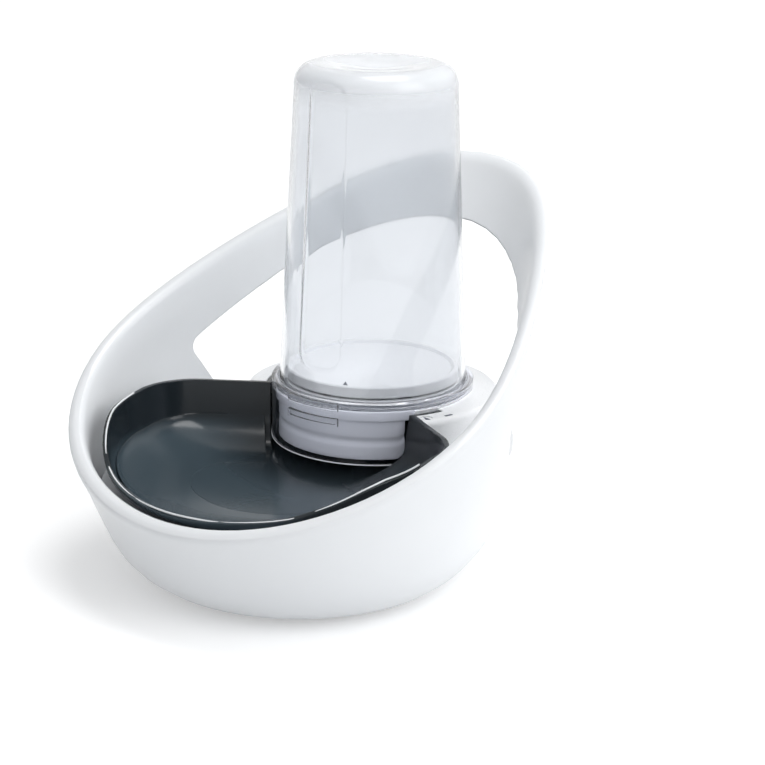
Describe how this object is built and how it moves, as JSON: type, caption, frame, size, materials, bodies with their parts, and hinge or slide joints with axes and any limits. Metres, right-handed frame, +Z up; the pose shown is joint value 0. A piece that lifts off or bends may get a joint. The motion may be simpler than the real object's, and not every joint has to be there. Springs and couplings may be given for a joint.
{
  "type": "smart pet water dispenser",
  "caption": "Egg-shaped white bowl shell that rises to a carrying arch, with a dark drinking tray and an upturned clear bottle that feeds it through a sprung valve.",
  "frame": {"origin": "centre of the overall box, on the surface that the feet stand on", "axes": "+Z up, -Y towards the drinking tray at the front, +Y towards the carrying arch, +X to the right seen from the front"},
  "size_m": [0.2262, 0.2591, 0.2425],
  "materials": {
    "shell_white": "satin",
    "deck_white": "satin",
    "base_white": "matte",
    "foot_rubber": "matte",
    "screw_steel": "satin",
    "tray_slate": "high gloss",
    "clear_bottle": "clear gloss",
    "clear_collar": "clear gloss",
    "cap_white": "satin",
    "seal_rubber": "matte",
    "valve_grey": "satin",
    "spring_steel": "satin",
    "board_green": "satin",
    "can_metal": "satin",
    "light_clear": "clear",
    "button_white": "satin",
    "holder_black": "matte",
    "cell_wrap": "satin"
  },
  "bodies": {
    "housing": {"outer_shell": "shell_white", "base_plate": "base_white", "rubber_feet": "foot_rubber", "base_screws": "screw_steel", "inner_deck": "deck_white", "deck_screws": "screw_steel", "drinking_tray": "tray_slate", "control_board": "board_green", "board_screws": "screw_steel", "radio_module": "can_metal", "level_sensor": "board_green", "button_switch": "can_metal", "status_light": "light_clear", "battery_holder": "holder_black", "battery_cells": "cell_wrap", "battery_cover": "base_white", "cover_screw": "screw_steel"},
    "bottle": {"water_bottle": "clear_bottle", "bottle_collar": "clear_collar", "bottle_cap": "cap_white", "cap_lid": "cap_white", "mouth_seal": "seal_rubber", "valve_guide": "cap_white", "valve_spring": "spring_steel"},
    "valve": {"valve_plunger": "valve_grey", "valve_gasket": "seal_rubber"},
    "button": {"reminder_button": "button_white"}
  },
  "joints": [
    {"name": "bottle_twist", "type": "hinge", "parent": "housing", "child": "bottle", "pos_m": [0, 0.0327, 0.08], "axis": [0, 0, 1], "range_deg": [0, 11]},
    {"name": "valve_lift", "type": "slide", "parent": "bottle", "child": "valve", "axis": [0, 0, 1], "range_m": [0, 0.0015], "stiffness_N_per_m": 150, "springref_m": -0.002, "deforming": ["valve_spring"]},
    {"name": "button_press", "type": "slide", "parent": "housing", "child": "button", "axis": [0, 0, -1], "range_m": [0, 0.0008], "stiffness_N_per_m": 400, "springref_m": -0.0005}
  ]
}
